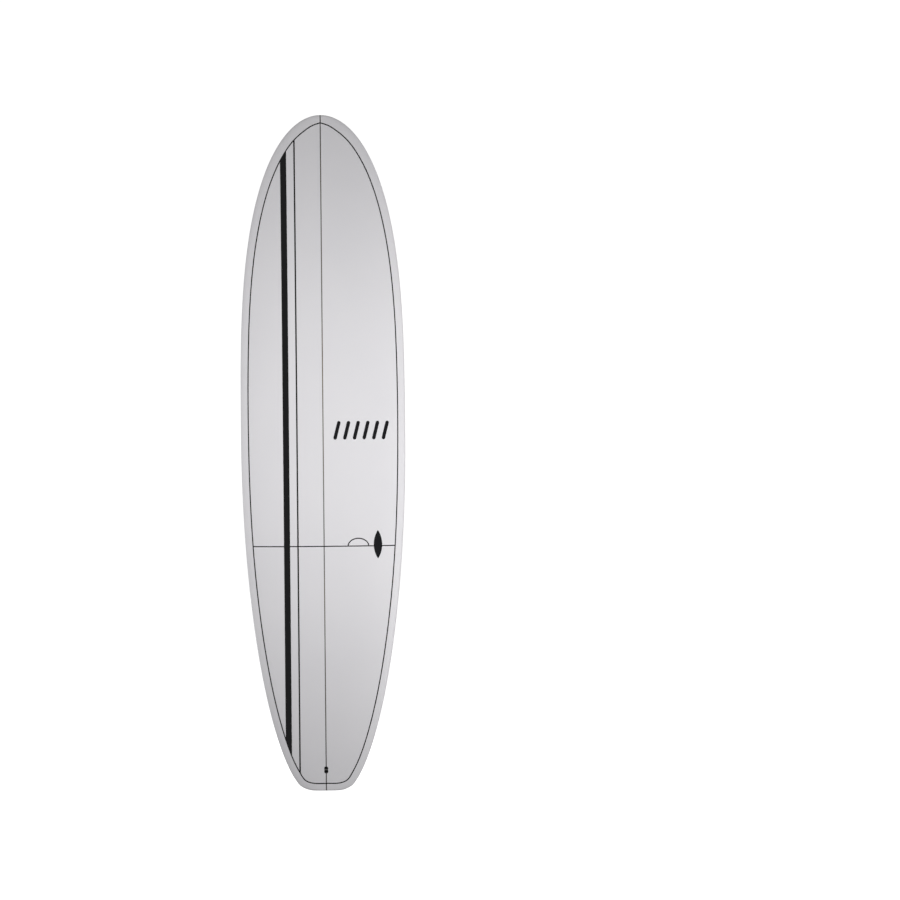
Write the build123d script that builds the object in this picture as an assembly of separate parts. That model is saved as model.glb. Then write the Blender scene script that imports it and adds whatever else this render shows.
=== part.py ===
"""Mid-length longboard surfboard with three dual-tab fin boxes, leash plug and vent.

Millimetres. The board stands on its tail: +Z runs from the tail end to the nose tip, the deck
faces -Y, the bottom faces +Y, and +X is starboard. The origin is the middle of the tail end.
"""
from build123d import *
import math
import os

# ---- Driving dimensions ------------------------------------------------------------------
LENGTH = 2286.0               # 7 ft 6 in from tail end to nose tip
WIDTH = 565.15                # 22 1/4 in at the widest point
THICKNESS = 73.0              # 2 7/8 in on the stringer

# Plan outline: two power curves that meet at the wide point
WIDE_POINT = 1203.0           # height of the widest point above the tail end
NOSE_FULLNESS = 3.14
NOSE_ROUNDNESS = 0.494
TAIL_FULLNESS = 2.01
TAIL_TAPER = 0.5845
TAIL_BLOCK = 63.4             # half-width that the tail curve runs down to
TAIL_CORNER = 21.3            # rounding of the tail's corners, in plan

# Rocker: how far the bottom lifts towards the deck side at each end
LOW_POINT = 1030.0
NOSE_LIFT = 120.0
NOSE_LIFT_POWER = 2.6
TAIL_LIFT = 60.0
TAIL_LIFT_POWER = 2.2

# Foil: thickness on the stringer from end to end
THICK_POINT = 1200.0
NOSE_EDGE = 16.0
NOSE_FOIL_POWER = 2.0
TAIL_EDGE = 18.0
TAIL_FOIL_POWER = 2.4
TAIL_EDGE_RADIUS = 6.0        # leaves a flat band 6 mm thick at the very end

# Cross-section: one smooth curve over the deck and one under the bottom, from rail to rail
RAIL_HEIGHT = 0.38            # height of the rail's widest line, as a share of the thickness
DECK_RAIL_PULL = 0.62         # how upright the curve leaves the rail
DECK_DOME_PULL = 0.80         # how far out its flatter part reaches
BOTTOM_RAIL_PULL = 1.25
BOTTOM_FLAT_PULL = 1.10

# Heights where the cross-section is drawn: close together where the ends round off
TAIL_STATIONS = (0, 0.5, 2, 4.5, 8, 13, 21, 31, 48, 75, 115, 170, 250, 350, 470, 610, 780, 980)
NOSE_STATIONS = (950, 800, 620, 460, 330, 230, 160, 110, 75, 50, 34, 22, 14, 8, 4.5, 2, 0.5)

# Skins and core
LAMINATE = 1.5                # glass cloth and resin over the foam
INLAY = 0.2                   # depth of paint and decals, flush with the gloss coat
STRINGER = 3.5                # thickness of the wooden stringer

# Pinline on the deck
PIN_WIDTH = 3.8
PIN_INSET = 27.0              # from the outline to the line's middle
PIN_NOSE_EXTRA = 9.5          # the inset grows towards the nose, so the line meets in an arch
PIN_NOSE_FADE = 220.0
PIN_NOSE_START = 8.0
PIN_TAIL_HEIGHT = 26.0
PIN_TAIL_STATIONS = (4, 14, 40, 80, 150, 280, 500, 800)
PIN_NOSE_STATIONS = (1500, 1750, 1950, 2090, 2180, 2235, 2264, 2280)

# Deck graphics
WIDE_STRIPE_X = -126.5
WIDE_STRIPE_WIDTH = 21.0
THIN_STRIPE_X = -89.0
THIN_STRIPE_WIDTH = 5.0
CROSS_LINE_HEIGHT = 832.0
CROSS_LINE_WIDTH = 3.6
HUMP_X = 117.0
HUMP_HALF_LENGTH = 37.0
HUMP_RISE = 28.0
LOZENGE_X = 184.0
LOZENGE_HEIGHT = 837.0
LOZENGE_LENGTH = 98.0
LOZENGE_WIDTH = 29.0
BARS_X = 130.0
BARS_HEIGHT = 1227.0
BAR_COUNT = 6
BAR_PITCH = 33.0
BAR_LENGTH = 65.0
BAR_WIDTH = 12.0
BAR_LEAN = 14.0

# Bottom decals
LABEL_HEIGHT = 366.0
LABEL_SIZE = (83.0, 29.0)
LABEL_CORNER = 3.0
OVAL_HEIGHT = 323.5
OVAL_SIZE = (102.0, 44.0)
RING_INSET = 6.0
RING_WIDTH = 1.6

# Fin boxes: dual-tab, 50.8 mm (2 in) between the grub screws
SIDE_FIN_X = 167.0
SIDE_FIN_HEIGHT = 366.0
SIDE_FIN_TOE = 2.3            # degrees that the front ends turn towards the stringer
CENTRE_FIN_HEIGHT = 155.5
TAB_PITCH = 50.8
SLOT_LENGTH = 71.6
SLOT_WIDTH = 6.8
SLOT_DEPTH = 3.4
TAB_SOCKET_LENGTH = 21.0
TAB_SOCKET_DEPTH = 13.6
BOX_LENGTH = 104.0
BOX_WIDTH = 34.0
BOX_DEPTH = 16.5
BOX_LIP = 0.8                 # what shows of the box around its slot
SCREW_OFFSET = 11.6           # from the slot's middle to the screw's mouth
SCREW_TILT = 38.0             # degrees from the surface's normal
SCREW_LIP_RADIUS = 4.0
SCREW_HOLE_END = 1.7          # the hole stops this far from the slot's middle plane

# M5 grub screw
GRUB_RADIUS = 2.5
GRUB_CLEARANCE = 0.05
GRUB_LENGTH = 6.0
GRUB_TOP = 4.0                # how far the screw sits below its mouth
GRUB_CHAMFER = 0.4
HEX_ACROSS_FLATS = 2.5
HEX_DEPTH = 2.6

# Leash plug
LEASH_HEIGHT = 71.5
CUP_RADIUS = 15.0
CUP_DEPTH = 16.0
CUP_LOBE_PITCH = 10.4
CUP_LOBE_RADIUS = 7.0         # outside of the lip around each lobe
CUP_WAIST = 12.4
CUP_LIP = 1.1
CUP_WELL_DEPTH = 13.5
BAR_RADIUS = 1.9
BAR_BELOW_DECK = 4.2
BAR_SPAN = 22.0

# Vent plug
VENT_X = 24.0
VENT_HEIGHT = 21.0
VENT_RADIUS = 5.6
VENT_DEPTH = 9.5
VENT_SEAT_RADIUS = 4.3
VENT_SEAT_DEPTH = 2.6
VENT_BORE_RADIUS = 2.05
VENT_BORE_DEPTH = 8.5
VENT_BREATHER_RADIUS = 0.5
VENT_SCREW_RADIUS = 2.0
VENT_SCREW_LENGTH = 4.5
VENT_HEAD_RADIUS = 4.2
VENT_HEAD_THICKNESS = 1.6
VENT_HEAD_SUNK = 0.2
O_RING_RADIUS = 3.1
O_RING_SECTION = 0.35
COIN_SLOT_WIDTH = 1.2
COIN_SLOT_DEPTH = 0.8

REACH = 300.0                 # prisms that cut the board run this far to each side
SLOPE_STEP = 0.1              # half the step over which a slope is measured
DECK = -1                     # the side of the board that a feature is on, as a sign of Y
BOTTOM = 1


# ---- Shape of the board ------------------------------------------------------------------
def half_width(z):
    """Half-width of the outline at height z."""
    half = WIDTH / 2
    if z > WIDE_POINT:
        along = min((z - WIDE_POINT) / (LENGTH - WIDE_POINT), 1)
        return half * (1 - along**NOSE_FULLNESS) ** NOSE_ROUNDNESS
    along = (WIDE_POINT - z) / WIDE_POINT
    width = TAIL_BLOCK + (half - TAIL_BLOCK) * (1 - along**TAIL_FULLNESS) ** TAIL_TAPER
    if z < TAIL_CORNER:
        width += math.sqrt(TAIL_CORNER**2 - (TAIL_CORNER - z) ** 2) - TAIL_CORNER
    return width


def lift(z):
    """How far the bottom has risen from its lowest point."""
    if z > LOW_POINT:
        return NOSE_LIFT * ((z - LOW_POINT) / (LENGTH - LOW_POINT)) ** NOSE_LIFT_POWER
    return TAIL_LIFT * ((LOW_POINT - z) / LOW_POINT) ** TAIL_LIFT_POWER


def foil(z):
    """Thickness on the stringer, before the two ends are rounded off."""
    if z > THICK_POINT:
        along = (z - THICK_POINT) / (LENGTH - THICK_POINT)
        return NOSE_EDGE + (THICKNESS - NOSE_EDGE) * (1 - along**NOSE_FOIL_POWER)
    along = (THICK_POINT - z) / THICK_POINT
    return TAIL_EDGE + (THICKNESS - TAIL_EDGE) * (1 - along**TAIL_FOIL_POWER)


def thickness(z):
    """Thickness on the stringer, rounded off at the nose tip and at the tail end."""
    full = foil(z)
    nose_radius = NOSE_EDGE / 2
    from_tip = LENGTH - z
    if from_tip < nose_radius:
        full *= math.sqrt(max(1 - (1 - from_tip / nose_radius) ** 2, 0))
    if z < TAIL_EDGE_RADIUS:
        rise = math.sqrt(TAIL_EDGE_RADIUS**2 - (TAIL_EDGE_RADIUS - z) ** 2)
        full -= 2 * (TAIL_EDGE_RADIUS - rise)
    return full


def middle(z):
    """Y of the line halfway between deck and bottom, which is zero at the tail end."""
    return TAIL_LIFT + TAIL_EDGE / 2 - lift(z) - foil(z) / 2


def rail_to_rail(width, rail_y, depth, rail_pull, flat_pull, z):
    """One side of a section: a curve that rises by depth in the middle and is upright at the rails.

    In the middle of the curve the two crown points weigh 20 of 32 and the two rail pulls 10.
    """
    crown = depth * 32 / (20 + 10 * rail_pull)
    half = [
        Vector(width, rail_y, z),
        Vector(width, rail_y + rail_pull * crown, z),
        Vector(flat_pull * width, rail_y + crown, z),
    ]
    return Edge.make_bezier(*half, *[Vector(-p.X, p.Y, p.Z) for p in reversed(half)])


def section(z, inset):
    """Closed cross-section of the board at height z, drawn inset from the outer surface."""
    full = thickness(z)
    rail_y = middle(z) + full / 2 - RAIL_HEIGHT * full
    width = half_width(z) - inset
    deck_depth = inset - (1 - RAIL_HEIGHT) * full
    bottom_depth = RAIL_HEIGHT * full - inset
    height = inset + z * (LENGTH - 2 * inset) / LENGTH
    return Wire(
        [
            rail_to_rail(width, rail_y, deck_depth, DECK_RAIL_PULL, DECK_DOME_PULL, height),
            rail_to_rail(width, rail_y, bottom_depth, BOTTOM_RAIL_PULL, BOTTOM_FLAT_PULL, height),
        ]
    )


def hull(inset):
    """The whole board as one smooth solid, inset from the outer surface."""
    heights = list(TAIL_STATIONS) + [WIDE_POINT] + [LENGTH - d for d in NOSE_STATIONS]
    sections = [section(z, inset) for z in heights]
    tip = Vertex(0, middle(LENGTH), LENGTH - inset)
    return Solid.make_loft(sections + [tip])


# ---- Helpers -----------------------------------------------------------------------------
def upright_prism(sketch):
    """A sketch drawn in X and height, extruded to both sides of the board."""
    return extrude(Plane.XZ * sketch, amount=REACH, both=True)


def region(sketch, core, side):
    """What lies over the sketch, outside the core, on one side of the board."""
    solids = (upright_prism(sketch) - core).solids()
    return Compound([s for s in solids if s.center().Y * side > 0])


def surface_plane(board, x, z, side, along):
    """Plane on the board's skin: its Z is the outward normal and its X runs along the given way."""
    hits = board.find_intersection_points(Axis((x, -REACH, z), (0, 1, 0)))
    point, normal = hits[0] if side == DECK else hits[-1]
    if normal.Y * side < 0:
        normal = -normal
    return Plane(origin=point, x_dir=along, z_dir=normal)


def cylinder(radius, bottom, top):
    """A cylinder along Z between two heights."""
    upward = (Align.CENTER, Align.CENTER, Align.MIN)
    return Pos(0, 0, bottom) * Cylinder(radius, top - bottom, align=upward)


def slab(sketch, bottom, top):
    """A sketch extruded along Z between two heights."""
    return extrude(Pos(0, 0, bottom) * sketch, amount=top - bottom)


def save(name, shape):
    shape.label = name
    export_step(shape, os.path.join("parts", name + ".step"))


# ---- Deck graphics, drawn in X and height --------------------------------------------------
def pin_inset(z):
    """Distance from the outline to the pinline's middle."""
    from_tip = LENGTH - z
    growth = 1 - math.exp(-from_tip / PIN_NOSE_START)
    return PIN_INSET + PIN_NOSE_EXTRA * growth * math.exp(-from_tip / PIN_NOSE_FADE)


def pin_face(shift):
    """Area inside the pinline, whose edge is moved inwards by shift."""
    starboard = []
    for z in (*PIN_TAIL_STATIONS, WIDE_POINT, *PIN_NOSE_STATIONS):
        slope = (half_width(z + SLOPE_STEP) - half_width(z - SLOPE_STEP)) / (2 * SLOPE_STEP)
        inset = (pin_inset(z) + shift) / math.hypot(1, slope)
        starboard.append((half_width(z) - inset, z + slope * inset))
    port = [(-x, z) for x, z in reversed(starboard)]
    apex = (0, LENGTH - PIN_INSET - shift)
    tail = (0, PIN_TAIL_HEIGHT + shift)
    return Face(Wire([Edge.make_spline([apex, *port, tail, *starboard, apex])]))


def band(x, width):
    """A stripe along the whole board."""
    return Pos(x, LENGTH / 2) * Rectangle(width, LENGTH)


def lozenge_sketch():
    """Pointed oval: two equal arcs."""
    half = LOZENGE_LENGTH / 2
    arcs = [
        ThreePointArc((0, -half), (side * LOZENGE_WIDTH / 2, 0), (0, half)) for side in (1, -1)
    ]
    return Pos(LOZENGE_X, LOZENGE_HEIGHT) * make_face(Wire(arcs).edges())


def hump_sketch():
    """An arch that stands on the cross line."""
    outer = Ellipse(HUMP_HALF_LENGTH, HUMP_RISE)
    inner = Ellipse(HUMP_HALF_LENGTH - CROSS_LINE_WIDTH, HUMP_RISE - CROSS_LINE_WIDTH)
    upper = Pos(0, HUMP_RISE / 2) * Rectangle(2 * HUMP_HALF_LENGTH, HUMP_RISE)
    return Pos(HUMP_X, CROSS_LINE_HEIGHT) * ((outer - inner) & upper)


def bars_sketch():
    """A row of plain slanted bars."""
    first = BARS_X - BAR_PITCH * (BAR_COUNT - 1) / 2
    bar = Rot(0, 0, 90 - BAR_LEAN) * SlotOverall(BAR_LENGTH, BAR_WIDTH)
    return Sketch() + [Pos(first + i * BAR_PITCH, BARS_HEIGHT) * bar for i in range(BAR_COUNT)]


def deck_sketches():
    """Every graphic inside the pinline, with no two of them overlapping."""
    inside = pin_face(PIN_WIDTH / 2)
    wide = band(WIDE_STRIPE_X, WIDE_STRIPE_WIDTH) & inside
    thin = band(THIN_STRIPE_X, THIN_STRIPE_WIDTH) & inside
    lozenge = lozenge_sketch()
    line = Pos(0, CROSS_LINE_HEIGHT) * Rectangle(WIDTH, CROSS_LINE_WIDTH)
    cross = ((line & inside) + hump_sketch()) - wide - thin - lozenge
    return {
        "wide_stripe": wide,
        "thin_stripe": thin,
        "cross_line": cross,
        "deck_lozenge": lozenge,
        "deck_bars": bars_sketch(),
    }


def bottom_sketches():
    """The decals on the bottom, with no two of them overlapping."""
    length, width = OVAL_SIZE
    oval = Ellipse(length / 2, width / 2)
    ring = Ellipse(length / 2 - RING_INSET, width / 2 - RING_INSET)
    ring -= Ellipse(length / 2 - RING_INSET - RING_WIDTH, width / 2 - RING_INSET - RING_WIDTH)
    place = Pos(0, OVAL_HEIGHT)
    return {
        "bottom_label": Pos(0, LABEL_HEIGHT) * RectangleRounded(*LABEL_SIZE, LABEL_CORNER),
        "bottom_oval": place * (oval - ring),
        "oval_ring": place * ring,
    }


# ---- Fin boxes -----------------------------------------------------------------------------
def screw_plane(plane, x, side):
    """Plane at a grub screw's mouth: its Z points out of the hole."""
    tilt = math.radians(SCREW_TILT)
    mouth = plane.from_local_coords(Vector(x, side * SCREW_OFFSET, 0))
    outward = plane.z_dir * math.cos(tilt) + plane.y_dir * (side * math.sin(tilt))
    return Plane(origin=mouth, x_dir=plane.x_dir, z_dir=outward)


def box_cutters(plane, screws):
    """The routed pocket, the openings in the glass, and the hollows of one fin box."""
    deep = TAB_SOCKET_DEPTH
    pocket = plane * slab(SlotOverall(BOX_LENGTH, BOX_WIDTH), -BOX_DEPTH, BOX_DEPTH)
    rim = SlotOverall(SLOT_LENGTH + 2 * BOX_LIP, SLOT_WIDTH + 2 * BOX_LIP)
    lip = plane * slab(rim, -SLOT_DEPTH, BOX_DEPTH)
    hollow = plane * slab(SlotOverall(SLOT_LENGTH, SLOT_WIDTH), -SLOT_DEPTH, BOX_DEPTH)
    reach = (SLOT_LENGTH - TAB_SOCKET_LENGTH) / 2
    for side in (-1, 1):
        socket = Pos(side * reach, 0) * SlotOverall(TAB_SOCKET_LENGTH, SLOT_WIDTH)
        hollow += plane * slab(socket, -deep, BOX_DEPTH)
    for x, side in screws:
        mouth = Pos(x, side * SCREW_OFFSET) * Circle(SCREW_LIP_RADIUS)
        lip += plane * slab(mouth, -SLOT_DEPTH, BOX_DEPTH)
        into_socket = (SCREW_OFFSET - SCREW_HOLE_END) / math.sin(math.radians(SCREW_TILT))
        hole = cylinder(GRUB_RADIUS + GRUB_CLEARANCE, -into_socket, BOX_DEPTH)
        hollow += screw_plane(plane, x, side) * hole
    return pocket, lip, hollow


def grub_screw(plane):
    """M5 cup-point grub screw with a hex socket."""
    body = cylinder(GRUB_RADIUS, -GRUB_TOP - GRUB_LENGTH, -GRUB_TOP)
    body = chamfer(body.edges().filter_by(GeomType.CIRCLE), GRUB_CHAMFER)
    key = RegularPolygon(HEX_ACROSS_FLATS / 2, 6, major_radius=False)
    body -= slab(key, -GRUB_TOP - HEX_DEPTH, -GRUB_TOP + GRUB_CHAMFER)
    cup = Cone(0, GRUB_RADIUS / 2, GRUB_RADIUS / 2, align=(Align.CENTER, Align.CENTER, Align.MAX))
    body -= Pos(0, 0, -GRUB_TOP - GRUB_LENGTH) * Rot(180, 0, 0) * cup
    return plane * body


# ---- Leash plug ----------------------------------------------------------------------------
def dog_bone(shrink):
    """Two lobes joined by a waist, whose edge is moved inwards by shrink."""
    outline = Rectangle(CUP_LOBE_PITCH, CUP_WAIST - 2 * shrink)
    for side in (-1, 1):
        outline += Pos(side * CUP_LOBE_PITCH / 2, 0) * Circle(CUP_LOBE_RADIUS - shrink)
    return outline


def leash_cutters(plane):
    """The drilled pocket, the opening in the glass, the well and the crossbar of the leash plug."""
    pocket = plane * cylinder(CUP_RADIUS, -CUP_DEPTH, CUP_DEPTH)
    lip = plane * slab(dog_bone(0), -BAR_BELOW_DECK, CUP_DEPTH)
    well = plane * slab(dog_bone(CUP_LIP), -CUP_WELL_DEPTH, CUP_DEPTH)
    bar = plane * Pos(0, 0, -BAR_BELOW_DECK) * Rot(90, 0, 0) * Cylinder(BAR_RADIUS, BAR_SPAN)
    return pocket, lip, well, bar


# ---- Vent plug -----------------------------------------------------------------------------
def vent_cutters(plane):
    """The drilled pocket, the opening in the glass and the hollows of the vent plug."""
    pocket = plane * cylinder(VENT_RADIUS, -VENT_DEPTH, VENT_DEPTH)
    lip = plane * cylinder(VENT_RADIUS, -VENT_DEPTH / 2, VENT_DEPTH)
    hollow = plane * cylinder(VENT_SEAT_RADIUS, -VENT_SEAT_DEPTH, VENT_DEPTH)
    hollow += plane * cylinder(VENT_BORE_RADIUS, -VENT_BORE_DEPTH, 0)
    hollow += plane * cylinder(VENT_BREATHER_RADIUS, -VENT_DEPTH, 0)
    return pocket, lip, hollow


def vent_screw(plane):
    top = -VENT_HEAD_SUNK
    under = top - VENT_HEAD_THICKNESS
    body = cylinder(VENT_HEAD_RADIUS, under, top)
    body += cylinder(VENT_SCREW_RADIUS, under - VENT_SCREW_LENGTH, under)
    groove = Rectangle(2 * VENT_HEAD_RADIUS, COIN_SLOT_WIDTH)
    return plane * (body - slab(groove, top - COIN_SLOT_DEPTH, top + COIN_SLOT_DEPTH))


def vent_o_ring(plane):
    return plane * Pos(0, 0, -VENT_SEAT_DEPTH + O_RING_SECTION) * Torus(O_RING_RADIUS, O_RING_SECTION)


# ---- Assembly ------------------------------------------------------------------------------
def fin_places(board):
    """Each fin box's name, plane and screws; a screw is (place along the slot, side of the slot)."""
    toe = math.radians(SIDE_FIN_TOE)
    half = TAB_PITCH / 2
    places = {}
    for name, side in (("port", -1), ("starboard", 1)):
        along = (-side * math.sin(toe), 0, math.cos(toe))
        plane = surface_plane(board, side * SIDE_FIN_X, SIDE_FIN_HEIGHT, BOTTOM, along)
        places[name] = (plane, [(half, -side), (-half, -side)])
    plane = surface_plane(board, 0, CENTRE_FIN_HEIGHT, BOTTOM, (0, 0, 1))
    places["centre"] = (plane, [(half, -1), (-half, 1)])
    return places


def fin_system(board, core):
    """Fin boxes and grub screws, with the pockets and openings that they need."""
    parts, pockets, openings = {}, [], []
    for name, (plane, screws) in fin_places(board).items():
        pocket, lip, hollow = box_cutters(plane, screws)
        parts[name + "_fin_box"] = (pocket & core) + (lip & board) - hollow
        for end, (x, side) in zip(("front", "rear"), screws):
            parts[f"{name}_{end}_grub_screw"] = grub_screw(screw_plane(plane, x, side))
        pockets.append(pocket)
        openings.append(lip)
    return parts, pockets, openings


def leash_plug(board, core):
    """Cup and crossbar in the deck, near the tail."""
    plane = surface_plane(board, 0, LEASH_HEIGHT, DECK, (0, 0, 1))
    pocket, lip, well, bar = leash_cutters(plane)
    cup = (pocket & core) + (lip & board) - well - bar
    return {"leash_cup": cup, "leash_bar": bar}, pocket, lip


def vent(board, core):
    """Plug, screw and O-ring in the bottom, beside the stringer at the tail."""
    plane = surface_plane(board, VENT_X, VENT_HEIGHT, BOTTOM, (0, 0, 1))
    pocket, lip, hollow = vent_cutters(plane)
    plug = (pocket & core) + (lip & board) - hollow
    parts = {"vent_plug": plug, "vent_screw": vent_screw(plane), "vent_o_ring": vent_o_ring(plane)}
    return parts, pocket, lip


def core_parts(core, pockets):
    """Two halves of the foam blank and the stringer glued between them."""
    side_block = Box(WIDTH, 2 * REACH, 2 * LENGTH, align=(Align.MIN, Align.CENTER, Align.CENTER))
    parts = {
        "foam_core_starboard": core & Pos(STRINGER / 2, 0, 0) * side_block,
        "foam_core_port": core & Rot(0, 0, 180) * Pos(STRINGER / 2, 0, 0) * side_block,
        "stringer": core & Box(STRINGER, 2 * REACH, 2 * LENGTH),
    }
    for name in parts:
        for pocket in pockets:
            parts[name] -= pocket
    return parts


def main():
    os.makedirs("parts", exist_ok=True)
    board = hull(0)
    paint = hull(INLAY)
    core = hull(LAMINATE)

    fins, pockets, bottom_openings = fin_system(board, core)
    leash, leash_pocket, leash_opening = leash_plug(board, core)
    vent_parts, vent_pocket, vent_opening = vent(board, core)
    pockets += [leash_pocket, vent_pocket]
    bottom_openings.append(vent_opening)
    parts = {**fins, **leash, **vent_parts, **core_parts(core, pockets)}

    inside = pin_face(PIN_WIDTH / 2)
    deck_region = region(Sketch() + inside, core, DECK)
    deck_skin = board & deck_region
    bottom_skin = board - core - deck_region
    pin_region = region(Sketch() + (pin_face(-PIN_WIDTH / 2) - inside), paint, DECK)
    parts["deck_pinline"] = board & pin_region
    bottom_skin -= pin_region
    for name, sketch in deck_sketches().items():
        inlay = region(sketch, paint, DECK)
        parts[name] = board & inlay
        deck_skin -= inlay
    for name, sketch in bottom_sketches().items():
        inlay = region(sketch, paint, BOTTOM)
        parts[name] = board & inlay
        bottom_skin -= inlay
    for opening in bottom_openings:
        bottom_skin -= opening
    parts["deck_laminate"] = deck_skin - leash_opening
    parts["bottom_laminate"] = bottom_skin

    for name, shape in parts.items():
        save(name, shape)


if __name__ == "__main__":
    main()
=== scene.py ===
"""Looks of the mid-length surfboard: glossy skins, painted lines, decals, fittings, light, camera.

Metres. The board stands on its tail: +Z runs up to the nose, the deck faces -Y, the bottom +Y,
and +X is starboard. Every piece that is drawn here lies on the board's own surface formula.
"""
import math
from collections import namedtuple

import bmesh
import bpy
import numpy as np
from mathutils import Matrix, Vector
from mathutils.kdtree import KDTree

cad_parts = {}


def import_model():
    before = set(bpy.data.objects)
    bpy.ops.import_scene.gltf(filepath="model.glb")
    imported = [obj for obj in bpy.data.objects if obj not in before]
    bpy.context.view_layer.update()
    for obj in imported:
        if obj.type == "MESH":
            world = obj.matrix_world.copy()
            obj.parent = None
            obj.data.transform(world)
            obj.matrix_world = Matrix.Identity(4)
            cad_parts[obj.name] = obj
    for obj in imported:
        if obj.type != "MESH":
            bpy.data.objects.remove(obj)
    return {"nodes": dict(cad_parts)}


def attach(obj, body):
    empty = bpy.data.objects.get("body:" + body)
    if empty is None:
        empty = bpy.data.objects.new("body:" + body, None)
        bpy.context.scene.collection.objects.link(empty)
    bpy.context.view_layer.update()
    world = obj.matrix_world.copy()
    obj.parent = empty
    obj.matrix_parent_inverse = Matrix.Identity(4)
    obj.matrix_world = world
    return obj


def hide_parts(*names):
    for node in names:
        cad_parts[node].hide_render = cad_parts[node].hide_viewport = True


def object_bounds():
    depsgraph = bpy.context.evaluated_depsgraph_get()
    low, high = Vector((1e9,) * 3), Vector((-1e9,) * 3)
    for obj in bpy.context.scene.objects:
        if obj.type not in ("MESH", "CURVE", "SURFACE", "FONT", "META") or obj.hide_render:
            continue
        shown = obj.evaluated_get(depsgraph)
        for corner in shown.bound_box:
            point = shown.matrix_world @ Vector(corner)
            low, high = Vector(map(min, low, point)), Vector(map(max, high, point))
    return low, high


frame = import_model()
cad_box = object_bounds()

MM = 0.001

# ---- Shape of the board: the same curves as in the CAD source --------------------------------
LENGTH = cad_box[1].z - cad_box[0].z
WIDTH = 565.15 * MM
THICKNESS = 73 * MM

WIDE_POINT = 1203 * MM        # height of the widest point above the tail end
NOSE_FULLNESS = 3.14
NOSE_ROUNDNESS = 0.494
TAIL_FULLNESS = 2.01
TAIL_TAPER = 0.5845
TAIL_BLOCK = 63.4 * MM        # half-width that the tail curve runs down to
TAIL_CORNER = 21.3 * MM

LOW_POINT = 1030 * MM
NOSE_LIFT = 120 * MM
NOSE_LIFT_POWER = 2.6
TAIL_LIFT = 60 * MM
TAIL_LIFT_POWER = 2.2

THICK_POINT = 1200 * MM
NOSE_EDGE = 16 * MM
NOSE_FOIL_POWER = 2.0
TAIL_EDGE = 18 * MM
TAIL_FOIL_POWER = 2.4
TAIL_EDGE_RADIUS = 6 * MM

# A side of the board: sign of Y, share of the thickness above or below the rail line, and how
# its cross-section curve leaves the rail and flattens
Side = namedtuple("Side", "sign share pull flat")
RAIL_HEIGHT = 0.38
DECK = Side(-1, 1 - RAIL_HEIGHT, 0.62, 0.80)
BOTTOM = Side(1, RAIL_HEIGHT, 1.25, 1.10)

# ---- Graphics --------------------------------------------------------------------------------
PIN_WIDTH = 3.8 * MM
PIN_INSET = 27 * MM           # from the outline to the middle of the line
PIN_NOSE_EXTRA = 9.5 * MM     # more inset round the nose
PIN_NOSE_FADE = 220 * MM      # which fades over this height
PIN_NOSE_START = 8 * MM       # and has none at the tip itself
PIN_TAIL_HEIGHT = 26 * MM
PIN_TAIL_KNOTS = (4, 14, 40, 80, 150, 280, 500, 800)                   # heights in mm
PIN_NOSE_KNOTS = (1500, 1750, 1950, 2090, 2180, 2235, 2264, 2280)
PIN_KNOTS = MM * np.array([*PIN_TAIL_KNOTS, WIDE_POINT / MM, *PIN_NOSE_KNOTS])
WIDE_STRIPE_X = -126.5 * MM
WIDE_STRIPE_WIDTH = 21 * MM
THIN_STRIPE_X = -89 * MM
THIN_STRIPE_WIDTH = 5 * MM
CROSS_LINE_HEIGHT = 832 * MM
CROSS_LINE_WIDTH = 3.6 * MM
HUMP_X = 117 * MM
HUMP_HALF_LENGTH = 37 * MM
HUMP_RISE = 28 * MM
LOZENGE_X = 184 * MM
LOZENGE_HEIGHT = 837 * MM
LOZENGE_LENGTH = 98 * MM
LOZENGE_WIDTH = 29 * MM
BARS_X = 130 * MM
BARS_HEIGHT = 1227 * MM
BAR_COUNT = 6
BAR_PITCH = 33 * MM
BAR_LENGTH = 65 * MM
BAR_WIDTH = 12 * MM
BAR_LEAN = math.radians(14)
LABEL_HEIGHT = 366 * MM
LABEL_SIZE = (83 * MM, 29 * MM)
LABEL_CORNER = 3 * MM
OVAL_HEIGHT = 323.5 * MM
OVAL_SIZE = (102 * MM, 44 * MM)
RING_INSET = 6 * MM
RING_WIDTH = 1.6 * MM
STRINGER = 3.5 * MM
STRINGER_END = 1.5 * MM       # its drawn face stops this far from the board's ends

# ---- Openings in the skins for the fittings --------------------------------------------------
SIDE_FIN_X = 167 * MM
SIDE_FIN_HEIGHT = 366 * MM
SIDE_FIN_TOE = math.radians(2.3)
CENTRE_FIN_HEIGHT = 155.5 * MM
SLOT_LENGTH = 71.6 * MM
SLOT_WIDTH = 6.8 * MM
BOX_LIP = 0.8 * MM
SCREW_PITCH = 50.8 * MM
SCREW_OFFSET = 11.6 * MM
SCREW_LIP_RADIUS = 4 * MM
LEASH_HEIGHT = 71.5 * MM
CUP_LOBE_PITCH = 10.4 * MM
CUP_LOBE_RADIUS = 7 * MM
CUP_WAIST = 12.4 * MM
VENT_X = 24 * MM
VENT_HEIGHT = 21 * MM
VENT_RADIUS = 5.6 * MM

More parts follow.
